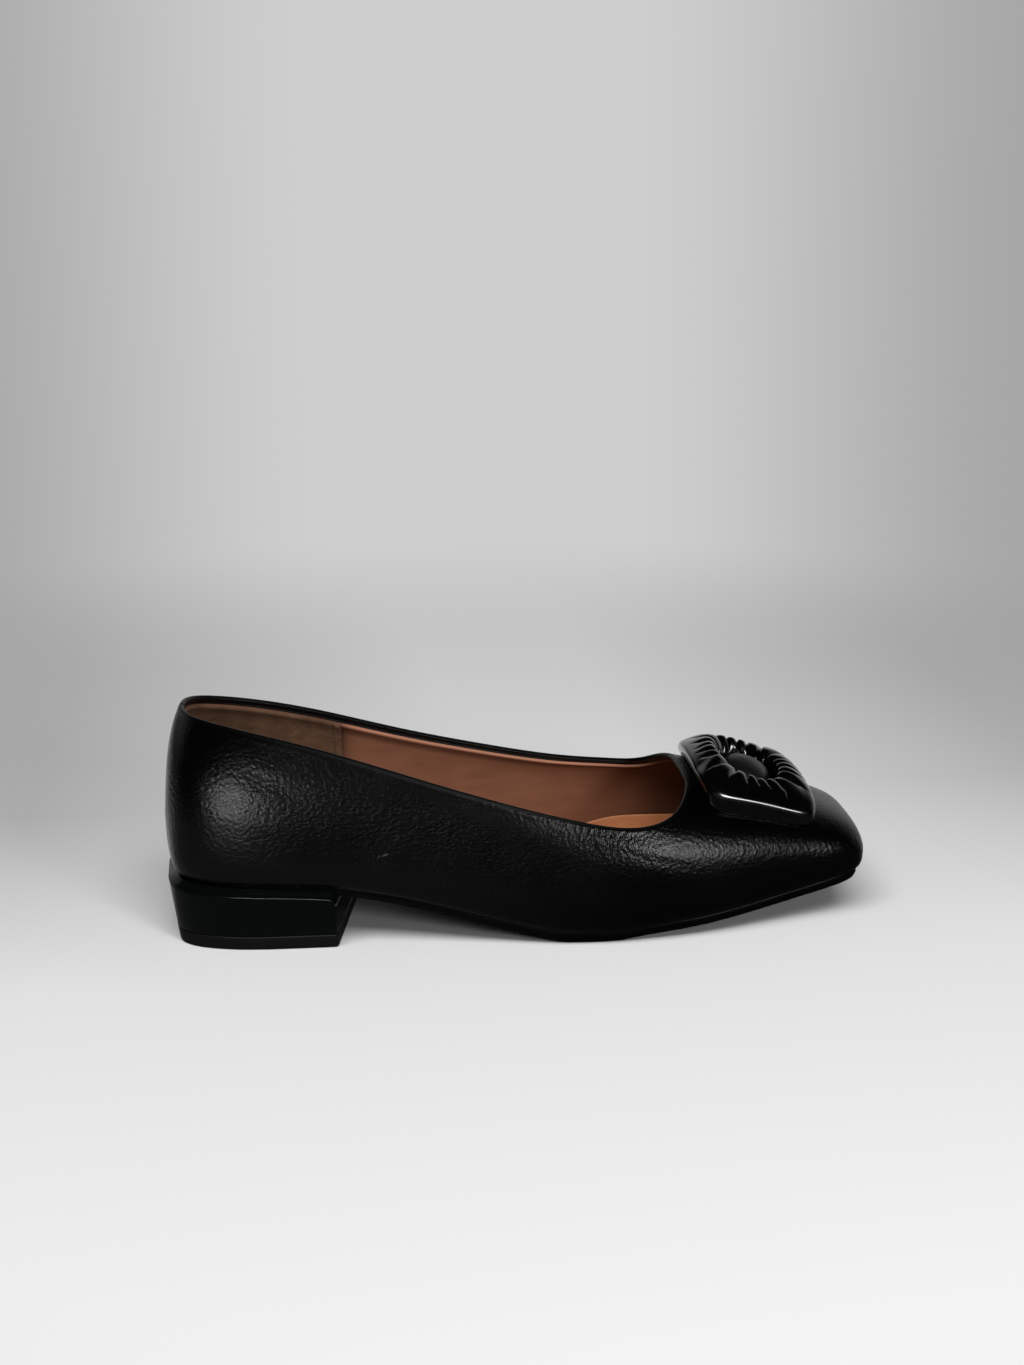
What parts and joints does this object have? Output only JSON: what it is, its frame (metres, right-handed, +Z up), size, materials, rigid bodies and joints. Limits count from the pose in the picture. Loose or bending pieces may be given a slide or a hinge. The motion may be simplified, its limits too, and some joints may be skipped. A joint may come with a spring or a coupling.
{
  "type": "ballet flat",
  "caption": "Square-toe ballet flat, a right shoe: hollow leather upper on a thin arched sole with a low block heel and a gathered square ornament with an oval button.",
  "frame": {"origin": "centre of the heel's bottom face, on the floor", "axes": "+X along the shoe to the toe, +Y to the wearer's left, which is the inner side of this right shoe, +Z up"},
  "size_m": [0.25, 0.0802, 0.0831],
  "materials": {
    "upper_leather": "satin grain",
    "insole_leather": "matt",
    "sole_rubber": "satin",
    "heel_plastic": "semi-gloss",
    "lift_rubber": "matt",
    "ornament_patent": "patent gloss",
    "button_leather": "satin"
  },
  "bodies": {
    "root": {"upper": "upper_leather", "insole": "insole_leather", "outsole": "sole_rubber", "heel_block": "heel_plastic", "heel_top_lift": "lift_rubber", "ornament_frame": "ornament_patent", "ornament_button": "button_leather"}
  },
  "joints": []
}
